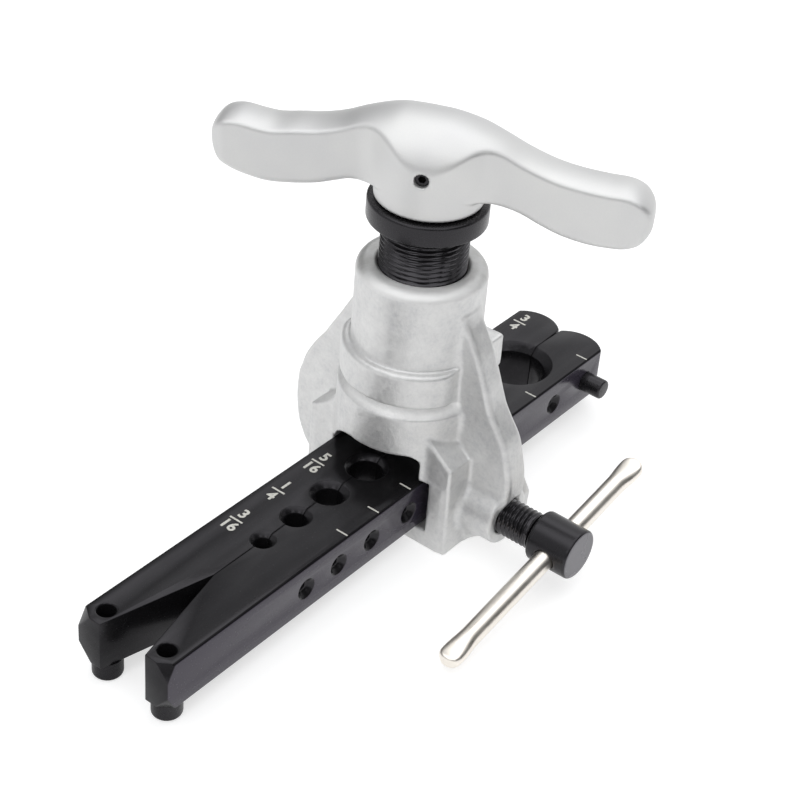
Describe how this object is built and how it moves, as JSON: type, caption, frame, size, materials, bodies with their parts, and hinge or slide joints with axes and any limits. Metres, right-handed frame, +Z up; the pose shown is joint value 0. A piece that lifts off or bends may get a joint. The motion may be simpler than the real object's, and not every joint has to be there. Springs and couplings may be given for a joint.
{
  "type": "flaring tool",
  "caption": "Yoke-type flaring tool: a split die bar with graded tube bores slides through a cast yoke with a clamp screw, a tommy bar and a T-handled cone screw.",
  "frame": {"origin": "on the feed screw's axis, which at rest is also the axis of the 1/2 in. die bore, in the plane of the die bar's bottom face", "axes": "+X along the die bar towards its 3/4 in. bore, +Z up the feed screw, -Y out along the clamp screw"},
  "size_m": [0.2002, 0.1203, 0.1302],
  "materials": {
    "cast_alloy": "satin cast",
    "handle_alloy": "fine bead-blasted satin",
    "black_steel": "black oxide, semi-matt",
    "bright_steel": "ground",
    "nickel": "polished nickel"
  },
  "bodies": {
    "yoke": {"yoke": "cast_alloy"},
    "die_rear": {"die_half_rear": "black_steel", "stop_screw_rear": "black_steel", "alignment_pin": "bright_steel"},
    "link": {"hinge_link": "black_steel", "hinge_pin_front": "bright_steel", "hinge_pin_rear": "bright_steel"},
    "die_front": {"die_half_front": "black_steel", "stop_screw_front": "black_steel", "side_stop_pin": "black_steel"},
    "cone": {"flaring_cone": "bright_steel", "thrust_ball": "bright_steel"},
    "feed": {"feed_screw": "black_steel", "feed_collar": "black_steel", "handle": "handle_alloy", "handle_grub_screw": "black_steel", "cone_retaining_pin": "bright_steel"},
    "clamp_nose": {"clamp_ball": "bright_steel"},
    "clamp": {"clamp_screw": "black_steel"},
    "tommy": {"tommy_bar": "nickel"}
  },
  "joints": [
    {"name": "bar_slide", "type": "slide", "parent": "yoke", "child": "die_rear", "axis": [1, 0, 0], "range_m": [-0.0543, 0.0933]},
    {"name": "link_swing", "type": "hinge", "parent": "die_rear", "child": "link", "pos_m": [0.0724, 0.0082, 0], "axis": [0, 0, 1], "range_deg": [0, 0.4]},
    {"name": "die_open", "type": "hinge", "parent": "link", "child": "die_front", "pos_m": [0.0724, -0.0082, 0], "axis": [0, 0, 1], "range_deg": [0, 0.4]},
    {"name": "clamp_feed", "type": "slide", "parent": "yoke", "child": "clamp_nose", "axis": [0, -1, 0], "range_m": [-0.00396, 0.00601]},
    {"name": "clamp_turn", "type": "hinge", "parent": "clamp_nose", "child": "clamp", "pos_m": [0, -0.056, 0.008], "axis": [0, -1, 0], "range_deg": [-948, 1440]},
    {"name": "tommy_slide", "type": "slide", "parent": "clamp", "child": "tommy", "axis": [0.9826, 0, 0.1857], "range_m": [-0.0227, 0.0357]},
    {"name": "screw_feed", "type": "slide", "parent": "yoke", "child": "cone", "axis": [0, 0, 1], "range_m": [-0.01046, 0.01001]},
    {"name": "screw_turn", "type": "hinge", "parent": "cone", "child": "feed", "pos_m": [0, 0, 0.06], "axis": [0, 0, 1], "range_deg": [-2508, 2400]}
  ],
  "couplings": [
    {"joint": "link_swing", "follows": "die_open", "ratio": 1},
    {"joint": "clamp_feed", "follows": "clamp_turn", "m_per_rad": 0.00023873},
    {"joint": "screw_feed", "follows": "screw_turn", "m_per_rad": 0.00023873}
  ]
}
